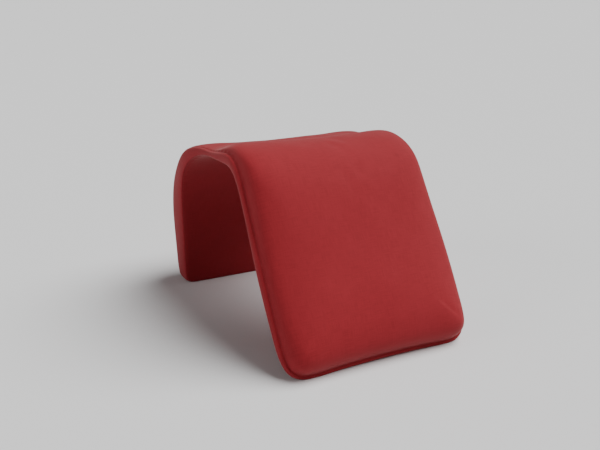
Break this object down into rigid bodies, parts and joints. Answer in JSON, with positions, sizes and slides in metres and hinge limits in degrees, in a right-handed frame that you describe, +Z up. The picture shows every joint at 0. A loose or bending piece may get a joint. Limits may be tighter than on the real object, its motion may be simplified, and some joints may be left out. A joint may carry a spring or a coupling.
{
  "type": "sofa headrest cushion",
  "caption": "Soft fabric headrest cushion bent like a saddle, with a plump sloping front pad, a thin crest and an upright back pad, to hook over a sofa's backrest.",
  "frame": {"origin": "centre of the cushion's footprint box, on the surface that its two hems stand on", "axes": "+X runs across the cushion, from its open left end to its right end; +Y runs from the front pad to the back pad; +Z is up"},
  "size_m": [0.453, 0.7012, 0.412],
  "materials": {
    "red_fabric": "matte, finely woven"
  },
  "bodies": {
    "root": {"cushion": "red_fabric"}
  },
  "joints": []
}
